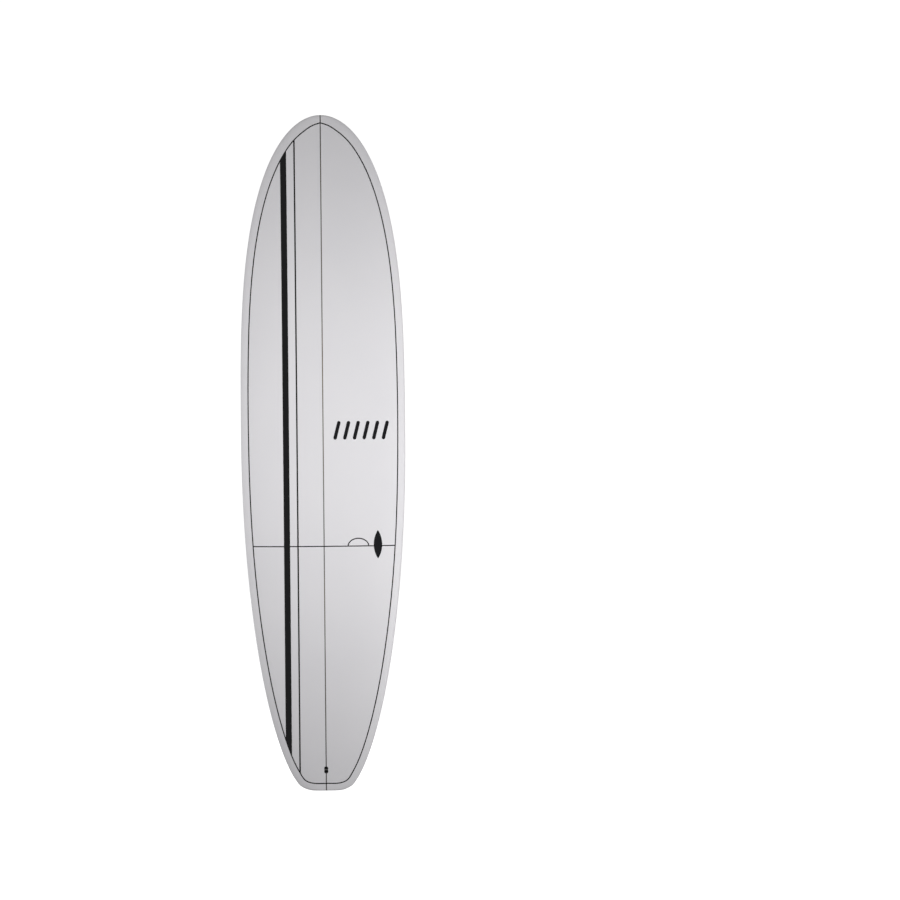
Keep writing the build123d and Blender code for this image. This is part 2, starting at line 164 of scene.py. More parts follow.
# ---- How fine the pieces are, and how they lie on each other ---------------------------------
LAMINATE = 1.5 * MM
PAINT_PROUD = 0.12 * MM       # paint and decals stand this far out of the skin
WOOD_PROUD = 0.04 * MM        # the stringer's face lies under the paint
SUNK = 0.1 * MM               # how far every graphic reaches into the skin
END_ROWS = 20
MIDDLE_ROWS = 220
RAIL_COLUMNS = 44             # from a rail to the stringer
RAIL_EASE = 1.5               # they lie closer together towards the rail
DECK_COLUMNS = 56
PIN_POINTS = 1201
STRIPE_ROWS = 241
SHORT_ROWS = 61               # along a graphic's length or round part of its outline
LINE_COLUMNS = 4              # across a thin line
BROAD_COLUMNS = 9             # across a broad graphic
BISECTIONS = 40
SAME_POINT = MM * MM          # vertices closer than this are one
CUTTER_REACH = 3 * LAMINATE   # a cutter runs this far in and out of the skin
SAME_PLACE = 10 * SAME_POINT  # a vertex this near to a known point takes its normal
WALL_LIMIT = 0.8              # cosine to the skin's normal below which a face is a wall


# ---- Surface ---------------------------------------------------------------------------------
def quarter_round(z, radius):
    """What a rounded end takes off the half-width: -radius at z = 0, nothing from z = radius on."""
    inside = np.clip(radius - z, 0, radius)
    return np.sqrt(radius**2 - inside**2) - radius


def half_width(z):
    """Half of the board's width at height z."""
    half = WIDTH / 2
    nose = np.clip((z - WIDE_POINT) / (LENGTH - WIDE_POINT), 0, 1)
    tail = np.clip((WIDE_POINT - z) / WIDE_POINT, 0, 1)
    nose_half = half * (1 - nose**NOSE_FULLNESS) ** NOSE_ROUNDNESS
    tail_half = TAIL_BLOCK + (half - TAIL_BLOCK) * (1 - tail**TAIL_FULLNESS) ** TAIL_TAPER
    return np.where(z > WIDE_POINT, nose_half, tail_half + quarter_round(z, TAIL_CORNER))


def lift(z):
    """The rocker: how far the bottom curves away towards the deck's side at height z."""
    nose = np.clip((z - LOW_POINT) / (LENGTH - LOW_POINT), 0, 1)
    tail = np.clip((LOW_POINT - z) / LOW_POINT, 0, 1)
    return NOSE_LIFT * nose**NOSE_LIFT_POWER + TAIL_LIFT * tail**TAIL_LIFT_POWER


def foil(z):
    """Thickness on the stringer before the two ends are rounded."""
    nose = np.clip((z - THICK_POINT) / (LENGTH - THICK_POINT), 0, 1)
    tail = np.clip((THICK_POINT - z) / THICK_POINT, 0, 1)
    nose_foil = NOSE_EDGE + (THICKNESS - NOSE_EDGE) * (1 - nose**NOSE_FOIL_POWER)
    tail_foil = TAIL_EDGE + (THICKNESS - TAIL_EDGE) * (1 - tail**TAIL_FOIL_POWER)
    return np.where(z > THICK_POINT, nose_foil, tail_foil)


def thickness(z):
    """Thickness on the stringer, with the nose rounded and the edges of the tail end too."""
    from_tip = np.clip((LENGTH - z) / (NOSE_EDGE / 2), 0, 1)
    return foil(z) * np.sqrt(1 - (1 - from_tip) ** 2) + 2 * quarter_round(z, TAIL_EDGE_RADIUS)


def across(side, t):
    """Share of the half-width and of the crown at t, which runs from starboard rail to port rail:
    a Bezier curve from rail to rail with these control points."""
    control_x = (1, 1, side.flat, -side.flat, -1, -1)
    control_rise = (0, side.pull, 1, 1, side.pull, 0)
    degree = len(control_x) - 1
    weights = [math.comb(degree, i) * t**i * (1 - t) ** (degree - i) for i in range(degree + 1)]
    x = sum(weight * control for weight, control in zip(weights, control_x))
    rise = sum(weight * control for weight, control in zip(weights, control_rise))
    return x, rise


def surface(side, t, z):
    """Points on one side of the board."""
    z = np.clip(z, 0, LENGTH)
    full = thickness(z)
    rail_y = TAIL_LIFT + TAIL_EDGE / 2 - lift(z) - foil(z) / 2 + full * (0.5 - RAIL_HEIGHT)
    crown = side.sign * side.share * full / across(side, 0.5)[1]
    x, rise = across(side, t)
    return np.stack([half_width(z) * x, rail_y + crown * rise, z + 0 * x], axis=-1)


def height_at(s):
    """Height for s from 0 to 1, slow at both ends, where the board's outline turns round."""
    return LENGTH * (1 - np.cos(math.pi * s)) / 2


def normals(side, t, z):
    """Outward unit normals of one side of the board. Nearer than pole to a tip, where the surface
    shrinks to a point, they are taken at the pole, and at the tip itself they point along Z."""
    step, pole = 1e-4, 2e-3
    s = np.arccos(np.clip(1 - 2 * z / LENGTH, -1, 1)) / math.pi
    near = np.clip(s, pole, 1 - pole)
    t = np.clip(t, step, 1 - step)
    level = height_at(near)
    along_t = surface(side, t + step, level) - surface(side, t - step, level)
    along_z = surface(side, t, height_at(near + step)) - surface(side, t, height_at(near - step))
    found = side.sign * np.cross(along_t, along_z)
    found /= np.linalg.norm(found, axis=-1, keepdims=True)
    found[s + 0 * t < pole / 2] = (0, 0, -1)
    found[s + 0 * t > 1 - pole / 2] = (0, 0, 1)
    return found


def t_at(side, x, z):
    """The t whose point is x away from the stringer at height z."""
    share = np.clip(x / np.maximum(half_width(z), SAME_POINT), -1, 1)
    low, high = np.zeros_like(share), np.ones_like(share)
    for _ in range(BISECTIONS):
        middle = (low + high) / 2
        beyond = across(side, middle)[0] > share
        low = np.where(beyond, middle, low)
        high = np.where(beyond, high, middle)
    return (low + high) / 2


# ---- Curves of the graphics, in X and height -------------------------------------------------
def spline(knots, count):
    """Points on the natural cubic spline through the knots, taken over the chord length."""
    step = np.linalg.norm(np.diff(knots, axis=0), axis=1)
    slope = np.diff(knots, axis=0) / step[:, None]
    system, turn = np.eye(len(knots)), np.zeros_like(knots)
    for i in range(1, len(knots) - 1):
        system[i, i - 1 : i + 2] = step[i - 1], 2 * (step[i - 1] + step[i]), step[i]
        turn[i] = 6 * (slope[i] - slope[i - 1])
    bend = np.linalg.solve(system, turn)
    places = np.linspace(0, len(step), count)
    i = np.minimum(places.astype(int), len(step) - 1)
    ahead = ((places - i) * step[i])[:, None]
    left = step[i][:, None] - ahead
    width = step[i][:, None]
    curve = (bend[i] * left**3 + bend[i + 1] * ahead**3) / (6 * width)
    curve += (knots[i] / width - bend[i] * width / 6) * left
    curve += (knots[i + 1] / width - bend[i + 1] * width / 6) * ahead
    return curve


def pin_curve(shift):
    """The closed pinline from the nose by port, tail and starboard, moved inwards by shift."""
    z, step = PIN_KNOTS, 0.1 * MM
    growth = 1 - np.exp(-(LENGTH - z) / PIN_NOSE_START)
    inset = PIN_INSET + PIN_NOSE_EXTRA * growth * np.exp(-(LENGTH - z) / PIN_NOSE_FADE) + shift
    slope = (half_width(z + step) - half_width(z - step)) / (2 * step)
    inset = inset / np.hypot(1, slope)
    starboard = np.stack([half_width(z) - inset, z + slope * inset], axis=-1)
    port = starboard[::-1] * (-1, 1)
    apex = [(0, LENGTH - PIN_INSET - shift)]
    tail = [(0, PIN_TAIL_HEIGHT + shift)]
    return spline(np.concatenate([apex, port, tail, starboard, apex]), PIN_POINTS)


def pin_side(shift):
    """The starboard half of the pinline from the tail up: half-widths and rising heights."""
    curve = pin_curve(shift)
    half = curve[len(curve) // 2 :]
    return np.maximum(half[:, 0], 0), np.maximum.accumulate(half[:, 1])


def pin_x(z, shift=0):
    """How far the pinline lies from the stringer at height z."""
    x, height = pin_side(shift)
    return np.interp(z, height, x, left=0, right=0)


def pin_ends(x, shift):
    """The heights where the area inside the pinline begins and ends, x away from the stringer."""
    half, height = pin_side(shift)
    widest = int(np.argmax(half))
    low = np.interp(abs(x), half[: widest + 1], height[: widest + 1])
    high = np.interp(-abs(x), -half[widest:], height[widest:])
    return low, high


def between(places, low, high, count):
    """A grid of places in rows, each row running from low to high. Gives both coordinates."""
    share = np.linspace(0, 1, count)[None, :]
    low, high = np.broadcast_to(low, places.shape), np.broadcast_to(high, places.shape)
    return places[:, None] + 0 * share, low[:, None] * (1 - share) + high[:, None] * share


def stadium_half(along, length, width):
    """Half-width of a bar with round ends, a given way along it from its middle."""
    into_end = np.clip(abs(along) - (length - width) / 2, 0, width / 2)
    return np.sqrt((width / 2) ** 2 - into_end**2)


def eased(low, high, count):
    """Values from low to high, closer together at both ends."""
    return low + (high - low) * (1 - np.cos(np.linspace(0, math.pi, count))) / 2


# ---- Mesh helpers ----------------------------------------------------------------------------
def grid_faces(rows, columns, first):
    """Quads of a grid whose vertices are numbered row by row from first."""
    corner = first + np.arange(rows - 1)[:, None] * columns + np.arange(columns - 1)[None, :]
    quads = np.stack([corner, corner + 1, corner + columns + 1, corner + columns], axis=-1)
    return quads.reshape(-1, 4).tolist()


def shell(outer, inner, open_rows=None, tail_cap=False):
    """Vertices and faces of a thin closed shell between two grids. A row interval that isn't open
    has no wall at its sides, because the two sides meet there. A tail cap closes the flat tail end:
    it joins the deck part of the first row to the bottom part, in both grids."""
    rows, columns = outer.shape[:2]
    size = rows * columns
    faces = grid_faces(rows, columns, 0) + grid_faces(rows, columns, size)
    for i in range(rows - 1):
        if open_rows is None or open_rows[i]:
            for edge in (0, columns - 1):
                a, b = i * columns + edge, (i + 1) * columns + edge
                faces.append([a, b, b + size, a + size])
    if tail_cap:
        half = (columns - 1) // 2
        for j in range(half // 2):
            for layer in (0, size):
                deck, bottom = j + layer, half - j + layer
                faces.append([deck, deck + 1, bottom - 1, bottom])
                deck, bottom = columns - 1 - j + layer, half + j + layer
                faces.append([deck, deck - 1, bottom + 1, bottom])
    else:
        for row in (0, rows - 1):
            for j in range(columns - 1):
                a = row * columns + j
                faces.append([a, a + 1, a + 1 + size, a + size])
    points = np.concatenate([outer.reshape(-1, 3), inner.reshape(-1, 3)])
    return points, faces


def new_piece(name, shells):
    """One mesh object of several closed shells, with coincident vertices merged."""
    points, faces = [], []
    for shell_points, shell_faces in shells:
        first = len(points)
        points.extend(shell_points.tolist())
        faces.extend([[v + first for v in face] for face in shell_faces])
    mesh = bpy.data.meshes.new(name)
    mesh.from_pydata(points, [], faces)
    work = bmesh.new()
    work.from_mesh(mesh)
    bmesh.ops.remove_doubles(work, verts=work.verts, dist=SAME_POINT)
    bmesh.ops.delete(work, geom=[e for e in work.edges if not e.link_faces], context="EDGES")
    bmesh.ops.recalc_face_normals(work, faces=work.faces)
    work.to_mesh(mesh)
    work.free()
    piece = bpy.data.objects.new(name, mesh)
    bpy.context.scene.collection.objects.link(piece)
    return piece


def cut(piece, cutters):
    """Takes the cutters out of the piece."""
    bpy.context.view_layer.update()
    modifier = piece.modifiers.new("Openings", "BOOLEAN")
    modifier.object = cutters
    modifier.solver = "EXACT"
    graph = bpy.context.evaluated_depsgraph_get()
    piece.data = bpy.data.meshes.new_from_object(piece.evaluated_get(graph))
    piece.modifiers.remove(modifier)


def give_normals(piece, side, known=None):
    """Shades the piece with the exact normals of the board's surface, and its walls flat. Known
    holds points and their normals, for a piece that lies on both sides of the board."""
    mesh = piece.data
    points = np.array([v.co for v in mesh.vertices])
    exact = normals(side, t_at(side, points[:, 0], points[:, 2]), points[:, 2])
    if known is not None:
        known_points, known_normals = known
        tree = KDTree(len(known_points))
        for i, point in enumerate(known_points):
            tree.insert(point, i)
        tree.balance()
        for i, point in enumerate(points):
            _, nearest, distance = tree.find(point)
            if distance < SAME_PLACE:
                exact[i] = known_normals[nearest]
    corner_normals = []
    for face in mesh.polygons:
        face.use_smooth = True
        for v in face.vertices:
            facing = float(np.dot(face.normal, exact[v]))
            normal = exact[v] * math.copysign(1, facing) if abs(facing) > WALL_LIMIT else face.normal
            corner_normals.append(tuple(normal))
    mesh.normals_split_custom_set(corner_normals)


def finish_piece(piece, slot, nodes):
    """Material, body and the CAD nodes that the piece stands for."""
    piece.data.materials.clear()
    piece.data.materials.append(MATERIALS[slot])
    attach(piece, "board")
    if nodes:
        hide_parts(*nodes)


def graphic(name, side, grids, slot, nodes=(), proud=PAINT_PROUD, wrapped=False, cutters=None):
    """Paint, decal or wood face that follows the skin. Each grid is (X, height)."""
    shells = []
    for x, z in grids:
        t = t_at(side, x, z)
        on_skin, outward = surface(side, t, z), normals(side, t, z)
        open_rows = [not wrapped] * (x.shape[0] - 1)
        shells.append(shell(on_skin + proud * outward, on_skin - SUNK * outward, open_rows))
    piece = new_piece(name, shells)
    if cutters:
        cut(piece, cutters)
    give_normals(piece, side)
    finish_piece(piece, slot, nodes)


# ---- Materials -------------------------------------------------------------------------------
MIX_FACTOR, MIX_FIRST, MIX_SECOND, MIX_RESULT = 0, 6, 7, 2   # sockets of a mix of two colours


class Nodes:
    """Short way to write a node tree."""

    def __init__(self, name):
        self.material = bpy.data.materials.new(name)
        self.material.use_nodes = True
        self.tree = self.material.node_tree
        self.shader = self.tree.nodes["Principled BSDF"]
        self.place = self.add("ShaderNodeTexCoord").outputs["Object"]

    def add(self, kind, **inputs):
        node = self.tree.nodes.new(kind)
        for key, value in inputs.items():
            self.put(node.inputs[key.replace("_", " ")], value)
        return node

    def put(self, socket, value):
        if isinstance(value, bpy.types.NodeSocket):
            self.tree.links.new(value, socket)
        else:
            socket.default_value = value

    def scaled(self, scale):
        return self.add("ShaderNodeMapping", Vector=self.place, Scale=scale).outputs["Vector"]

    def noise(self, scale, detail=2.0, stretch=(1, 1, 1)):
        node = self.add("ShaderNodeTexNoise", Vector=self.scaled(stretch), Scale=scale, Detail=detail)
        return node.outputs["Fac"]

    def blend(self, amount, first, second):
        """A colour between two."""
        node = self.tree.nodes.new("ShaderNodeMix")
        node.data_type = "RGBA"
        for index, value in ((MIX_FACTOR, amount), (MIX_FIRST, first), (MIX_SECOND, second)):
            if isinstance(value, tuple):
                value = (*value, 1)
            self.put(node.inputs[index], value)
        return node.outputs[MIX_RESULT]

    def spread(self, value, low=0, high=1, start=0.3, end=0.7):
        """Maps what runs from start to end, as most of a noise does, to the range low to high."""
        node = self.add("ShaderNodeMapRange", Value=value)
        for index, number in enumerate((start, end, low, high)):
            node.inputs[index + 1].default_value = number
        return node.outputs["Result"]

    def calculate(self, operation, first, second):
        node = self.add("ShaderNodeMath")
        node.operation = operation
        self.put(node.inputs[0], first)
        self.put(node.inputs[1], second)
        return node.outputs[0]

    def total(self, first, second):
        return self.calculate("ADD", first, second)

    def product(self, first, second):
        return self.calculate("MULTIPLY", first, second)

    def bump(self, height, strength, distance):
        node = self.add("ShaderNodeBump", Height=height, Strength=strength, Distance=distance)
        self.put(self.shader.inputs["Normal"], node.outputs["Normal"])

    def set(self, **inputs):
        for key, value in inputs.items():
            if isinstance(value, tuple):
                value = (*value, 1)
            self.put(self.shader.inputs[key.replace("_", " ")], value)
        return self.material


THREAD_PITCH = 1.1 * MM       # of the glass cloth
THREAD_RELIEF = 0.15          # of its threads, beside the waves of the polish
FIBRE_SHARE = 0.6             # how much of a lacquer's tone follows its fibres, the rest a mottle
SCUFF_RELIEF = 0.4            # of a moulding's scuffs, beside its grain
WAVES_PER_SCALE = 20          # a wave texture repeats this often per unit at scale 1, over 2 pi
LAMINATE_WHITE = (0.800, 0.787, 0.809)
LAMINATE_CLOUDED = (0.775, 0.764, 0.790)
LAMINATE_THREADS = (0.760, 0.750, 0.775)
WOOD_BROWN = (0.22, 0.165, 0.11)
WOOD_DARK_BROWN = (0.105, 0.073, 0.045)
WOOD_GREY = (0.145, 0.142, 0.128)
WOOD_DARK_GREY = (0.070, 0.069, 0.064)
# Painted shade: towards both ends of the board the stringer's colour darkens to this tone
WOOD_END_SHADE_TONE = (0.014, 0.014, 0.013)
WOOD_END_SHADE_SHARE = 0.92             # how much of the painted shade's tone the ends take
WOOD_UNSHADED_FROM = 0.65        # between these heights the wood has no painted shade
WOOD_UNSHADED_TO = 1.62
FOAM_TONES = ((0.86, 0.85, 0.82), (0.78, 0.77, 0.73))
STEEL_TONES = ((0.34, 0.335, 0.33), (0.20, 0.195, 0.19))

# Paint and printed paper: light tone, dark tone, scale of the fibres
LACQUERS = {
    "black_paint": ((0.0045, 0.0045, 0.005), (0.0025, 0.0025, 0.003), 260),
    "black_decal": ((0.0045, 0.0045, 0.007), (0.0025, 0.0025, 0.0045), 900),
    "pale_decal": ((0.25, 0.27, 0.31), (0.19, 0.21, 0.25), 900),
    "orange_decal": ((0.74, 0.115, 0.018), (0.62, 0.085, 0.013), 900),
}
# Moulded parts: light tone, dark tone, roughness
MOULDINGS = {
    "black_plastic": ((0.030, 0.030, 0.032), (0.014, 0.014, 0.015), 0.42),
    "grey_plastic": ((0.055, 0.055, 0.058), (0.034, 0.034, 0.036), 0.45),
    "rubber_seal": ((0.02, 0.02, 0.02), (0.012, 0.012, 0.012), 0.7),
}


def cloth(nodes):
    """Glass cloth under the resin: two sets of threads that cross."""
    threads = []
    for direction in ("X", "Z"):
        wave = nodes.add("ShaderNodeTexWave", Vector=nodes.place)
        wave.bands_direction = direction
        wave.inputs["Scale"].default_value = 2 * math.pi / (WAVES_PER_SCALE * THREAD_PITCH)
        threads.append(wave.outputs["Fac"])
    return nodes.product(*threads)


def polish(nodes, relief=None):
    """The faint waves of hand-polished resin, with any relief of what lies under it."""
    height = nodes.noise(scale=210, detail=1)
    if relief is not None:
        height = nodes.total(height, relief)
    nodes.bump(height, strength=0.05, distance=0.2 * MM)


def glass_skin():
    """White foam and paint under glass cloth and polished clear resin."""
    n = Nodes("white_laminate")
    clouds = n.noise(scale=3.5, detail=3)
    tone = n.blend(n.spread(clouds), LAMINATE_CLOUDED, LAMINATE_WHITE)
    weave = cloth(n)
    tone = n.blend(n.spread(weave, high=0.5, start=0, end=1), tone, LAMINATE_THREADS)
    smears = n.noise(scale=22, detail=4, stretch=(1, 1, 0.35))
    polish(n, relief=n.product(weave, THREAD_RELIEF))
    return n.set(
        Base_Color=tone,
        Roughness=n.spread(smears, low=0.30, high=0.42),
        IOR=1.5,
        Coat_Weight=0.6,
        Coat_Roughness=0.10,
    )


def lacquered(name, light, dark, fibre_scale):
    """Paint or printed paper under the same clear resin."""
    n = Nodes(name)
    fibres = n.noise(scale=fibre_scale, detail=4, stretch=(1, 1, 0.3))
    mottle = n.noise(scale=40, detail=3)
    mixed = n.total(n.product(fibres, FIBRE_SHARE), n.product(mottle, 1 - FIBRE_SHARE))
    polish(n)
    return n.set(
        Base_Color=n.blend(n.spread(mixed), dark, light),
        Roughness=n.spread(mottle, low=0.11, high=0.22),
        IOR=1.45,
    )


def wood():
    """Stringer seen through the glass: long grain, browner in places, with painted shade darkening it
    towards both ends.
    """
    n = Nodes("stringer_wood")
    grain = n.noise(scale=9, detail=5, stretch=(150, 60, 2.2))
    brown = n.blend(n.spread(grain), WOOD_DARK_BROWN, WOOD_BROWN)
    grey = n.blend(n.spread(grain), WOOD_DARK_GREY, WOOD_GREY)
    patches = n.noise(scale=1.6, detail=1, stretch=(0, 0, 1))
    clear = n.blend(n.spread(patches, start=0.4, end=0.6), grey, brown)
    # Painted shade: the wood's colour is darkened towards the tail and the nose
    height = n.add("ShaderNodeSeparateXYZ", Vector=n.place).outputs["Z"]
    towards_tail = n.spread(height, low=1, high=0, start=0, end=WOOD_UNSHADED_FROM)
    towards_nose = n.spread(height, low=0, high=1, start=WOOD_UNSHADED_TO, end=LENGTH)
    tone_shift = n.product(n.total(towards_tail, towards_nose), WOOD_END_SHADE_SHARE)
    n.bump(grain, strength=0.08, distance=0.1 * MM)
    return n.set(
        Base_Color=n.blend(tone_shift, clear, WOOD_END_SHADE_TONE),
        Roughness=n.spread(grain, low=0.32, high=0.45),
        Coat_Weight=0.6,
        Coat_Roughness=0.10,
    )


def beads():
    """Bead foam of the blank, inside the glass."""
    n = Nodes("foam")
    light, dark = FOAM_TONES
    cells = n.add("ShaderNodeTexVoronoi", Vector=n.place, Scale=900.0).outputs["Distance"]
    n.bump(cells, strength=0.3, distance=0.4 * MM)
    return n.set(
        Base_Color=n.blend(n.spread(cells, start=0, end=0.6), dark, light),
        Roughness=n.spread(cells, low=0.8, high=0.95, start=0, end=0.6),
    )


def moulded(name, light, dark, rough):
    """Moulded plastic or rubber with a fine spark-eroded grain."""
    n = Nodes(name)
    grain = n.noise(scale=2600)
    scuffs = n.noise(scale=320, detail=4, stretch=(1, 1, 0.25))
    relief = n.total(grain, n.product(scuffs, SCUFF_RELIEF))
    n.bump(relief, strength=0.12, distance=0.05 * MM)
    return n.set(
        Base_Color=n.blend(n.spread(scuffs), dark, light),
        Roughness=n.spread(scuffs, low=rough - 0.08, high=rough + 0.1),
    )


def screw_steel():
    """Stainless steel with turning marks."""
    n = Nodes("steel")
    light, dark = STEEL_TONES
    marks = n.noise(scale=1500, detail=3, stretch=(1, 1, 4))
    tone_shift = n.noise(scale=260, detail=3)
    n.bump(marks, strength=0.1, distance=0.03 * MM)
    return n.set(
        Base_Color=n.blend(n.spread(tone_shift), dark, light),
        Metallic=1.0,
        Roughness=n.spread(marks, low=0.25, high=0.42),
    )


MATERIALS = {
    "white_laminate": glass_skin(),
    "stringer_wood": wood(),
    "foam": beads(),
    "steel": screw_steel(),
}
MATERIALS.update({name: lacquered(name, *finish) for name, finish in LACQUERS.items()})
MATERIALS.update({name: moulded(name, *finish) for name, finish in MOULDINGS.items()})


# ---- Openings --------------------------------------------------------------------------------
def fitting_place(side, x, z, turn=0.0):
    """Matrix of a plane on the skin: its X runs up the board, turned a little, its Z points out."""
    x, z = np.array([x]), np.array([z])
    t = t_at(side, x, z)
    out = Vector(normals(side, t, z)[0])
    up = Vector((math.sin(turn), 0, math.cos(turn)))
    up = (up - out * up.dot(out)).normalized()
    place = Matrix((up, out.cross(up), out)).transposed().to_4x4()
    place.translation = Vector(surface(side, t, z)[0])
    return place


def stadium(length, width, arc=24):
    """Outline of a slot with round ends."""
    radius, reach = width / 2, (length - width) / 2
    angles = np.linspace(-math.pi / 2, math.pi / 2, arc)
    end = np.stack([reach + radius * np.cos(angles), radius * np.sin(angles)], axis=-1)
    return np.concatenate([end, -end])


def circle(x, y, radius, count=48):
    """Outline of a round opening."""
    angles = np.linspace(0, 2 * math.pi, count, endpoint=False)
    return np.stack([x + radius * np.cos(angles), y + radius * np.sin(angles)], axis=-1)


def dog_bone(arc=32):
    """Outline of the leash plug: two lobes and a waist."""
    waist = math.asin(CUP_WAIST / 2 / CUP_LOBE_RADIUS)
    angles = np.linspace(-(math.pi - waist), math.pi - waist, arc)
    lobe = CUP_LOBE_RADIUS * np.stack([np.cos(angles), np.sin(angles)], axis=-1)
    lobe[:, 0] += CUP_LOBE_PITCH / 2
    return np.concatenate([lobe, -lobe])


def prism(outline, place):
    """Vertices and faces of a closed prism that runs through the skin."""
    count = len(outline)
    points = [place @ Vector((x, y, h)) for h in (-CUTTER_REACH, CUTTER_REACH) for x, y in outline]
    faces = [list(range(count)), list(range(count, 2 * count))]
    for i in range(count):
        j = (i + 1) % count
        faces.append([i, j, count + j, count + i])
    return np.array(points), faces


def bottom_openings():
    """Every opening of the bottom skin: fin slots, screw mouths and vent."""
    prisms = []
    half = SCREW_PITCH / 2
    # Each box's X, height and toe-in, and its screws' places along it with the side they are on
    fins = [
        (-SIDE_FIN_X, SIDE_FIN_HEIGHT, SIDE_FIN_TOE, [(half, 1), (-half, 1)]),
        (SIDE_FIN_X, SIDE_FIN_HEIGHT, -SIDE_FIN_TOE, [(half, -1), (-half, -1)]),
        (0, CENTRE_FIN_HEIGHT, 0, [(half, -1), (-half, 1)]),
    ]
    for x, z, toe, screws in fins:
        place = fitting_place(BOTTOM, x, z, toe)
        prisms.append(prism(stadium(SLOT_LENGTH + 2 * BOX_LIP, SLOT_WIDTH + 2 * BOX_LIP), place))
        for along, side in screws:
            prisms.append(prism(circle(along, side * SCREW_OFFSET, SCREW_LIP_RADIUS), place))
    vent = fitting_place(BOTTOM, VENT_X, VENT_HEIGHT)
    prisms.append(prism(circle(0, 0, VENT_RADIUS), vent))
    return new_piece("bottom_openings", prisms)


def deck_opening():
    """The opening of the deck skin for the leash plug."""
    place = fitting_place(DECK, 0, LEASH_HEIGHT)
    return new_piece("deck_opening", [prism(dog_bone(), place)])


# ---- Pieces ----------------------------------------------------------------------------------
def skin_rows():
    """Heights of the skins' rows, the seam's X there, 0 past its ends, and which rows have it."""
    low, high = PIN_TAIL_HEIGHT, LENGTH - PIN_INSET
    tail, nose = eased(0, low, END_ROWS), eased(high, LENGTH, END_ROWS)
    z = np.concatenate([tail[:-1], eased(low, high, MIDDLE_ROWS)[:-1], nose])
    inside = (z >= low) & (z <= high)
    return z, np.where(inside, pin_x(z), 0), inside


def skin_seam(x, z):
    """The deck's t at the starboard seam, which closes to the middle where X is 0."""
    return np.where(x > 0, t_at(DECK, x, z), 0.5)[:, None]


def bottom_skin(cutter):
    """The skin that wraps the bottom and both rails, up to the seam under the pinline. Its columns
    run from the deck's middle or seam by the starboard rail, the bottom and the port rail."""
    z, x, _ = skin_rows()
    seam = skin_seam(x, z)
    half = np.linspace(0, 1, RAIL_COLUMNS + 1) ** RAIL_EASE / 2
    starboard = np.minimum(half[None, ::-1], seam)
    under = np.concatenate([half[:-1], 1 - half[::-1]])[None, :] + 0 * seam
    port = 1 - starboard[:, ::-1]
    parts = [(DECK, starboard[:, :-1]), (BOTTOM, under[:, :-1]), (DECK, port)]
    level = z[:, None]
    outer = np.concatenate([surface(side, t, level + 0 * t) for side, t in parts], axis=1)
    outward = np.concatenate([normals(side, t, level + 0 * t) for side, t in parts], axis=1)
    inner = outer - LAMINATE * outward
    open_rows = (x[:-1] > 0) | (x[1:] > 0)
    piece = new_piece("bottom_skin", [shell(outer, inner, open_rows, tail_cap=True)])
    cut(piece, cutter)
    known_points = np.concatenate([outer.reshape(-1, 3), inner.reshape(-1, 3)])
    known_normals = np.concatenate([outward.reshape(-1, 3)] * 2)
    give_normals(piece, BOTTOM, (known_points, known_normals))
    finish_piece(piece, "white_laminate", ["bottom_laminate"])


def deck_skin(cutter):
    """The skin inside the pinline, from seam to seam."""
    z, x, inside = skin_rows()
    z, seam = z[inside], skin_seam(x, z)[inside]
    t = seam + (1 - 2 * seam) * np.linspace(0, 1, DECK_COLUMNS + 1)[None, :]
    level = z[:, None] + 0 * t
    outer, outward = surface(DECK, t, level), normals(DECK, t, level)
    piece = new_piece("deck_skin", [shell(outer, outer - LAMINATE * outward)])
    cut(piece, cutter)
    give_normals(piece, DECK)
    finish_piece(piece, "white_laminate", ["deck_laminate"])


def pinline():
    """The painted line that follows the outline, over the seam of the two skins."""
    outer, inner = pin_curve(-PIN_WIDTH / 2), pin_curve(PIN_WIDTH / 2)
    share = np.linspace(0, 1, LINE_COLUMNS)[None, :]
    x = outer[:, :1] * (1 - share) + inner[:, :1] * share
    z = outer[:, 1:] * (1 - share) + inner[:, 1:] * share
    graphic("pinline", DECK, [(x.T, z.T)], "black_paint", ["deck_pinline"], wrapped=True)


def stripe(name, x, width, node):
    """A stripe up the deck, cut off by the pinline at both ends."""
    columns = np.linspace(x - width / 2, x + width / 2, BROAD_COLUMNS)
    low, high = pin_ends(columns, PIN_WIDTH / 2)
    share = eased(0, 1, STRIPE_ROWS)[None, :]
    z = low[:, None] * (1 - share) + high[:, None] * share
    graphic(name, DECK, [(columns[:, None] + 0 * z, z)], "black_paint", [node])


def lozenge_half(z):
    """Half-width of the pointed oval: an arc through its two tips and its widest point."""
    half_length, half = LOZENGE_LENGTH / 2, LOZENGE_WIDTH / 2
    radius = (half_length**2 + half**2) / (2 * half)
    off = np.clip(abs(z - LOZENGE_HEIGHT), 0, half_length)
    return np.sqrt(radius**2 - off**2) - (radius - half)


def lozenge():
    """The pointed oval on the line across the deck."""
    z = LOZENGE_HEIGHT + LOZENGE_LENGTH / 2 * np.linspace(-1, 1, SHORT_ROWS)
    half = lozenge_half(z)
    z, x = between(z, LOZENGE_X - half, LOZENGE_X + half, BROAD_COLUMNS)
    graphic("deck_lozenge_print", DECK, [(x, z)], "black_decal", ["deck_lozenge"])


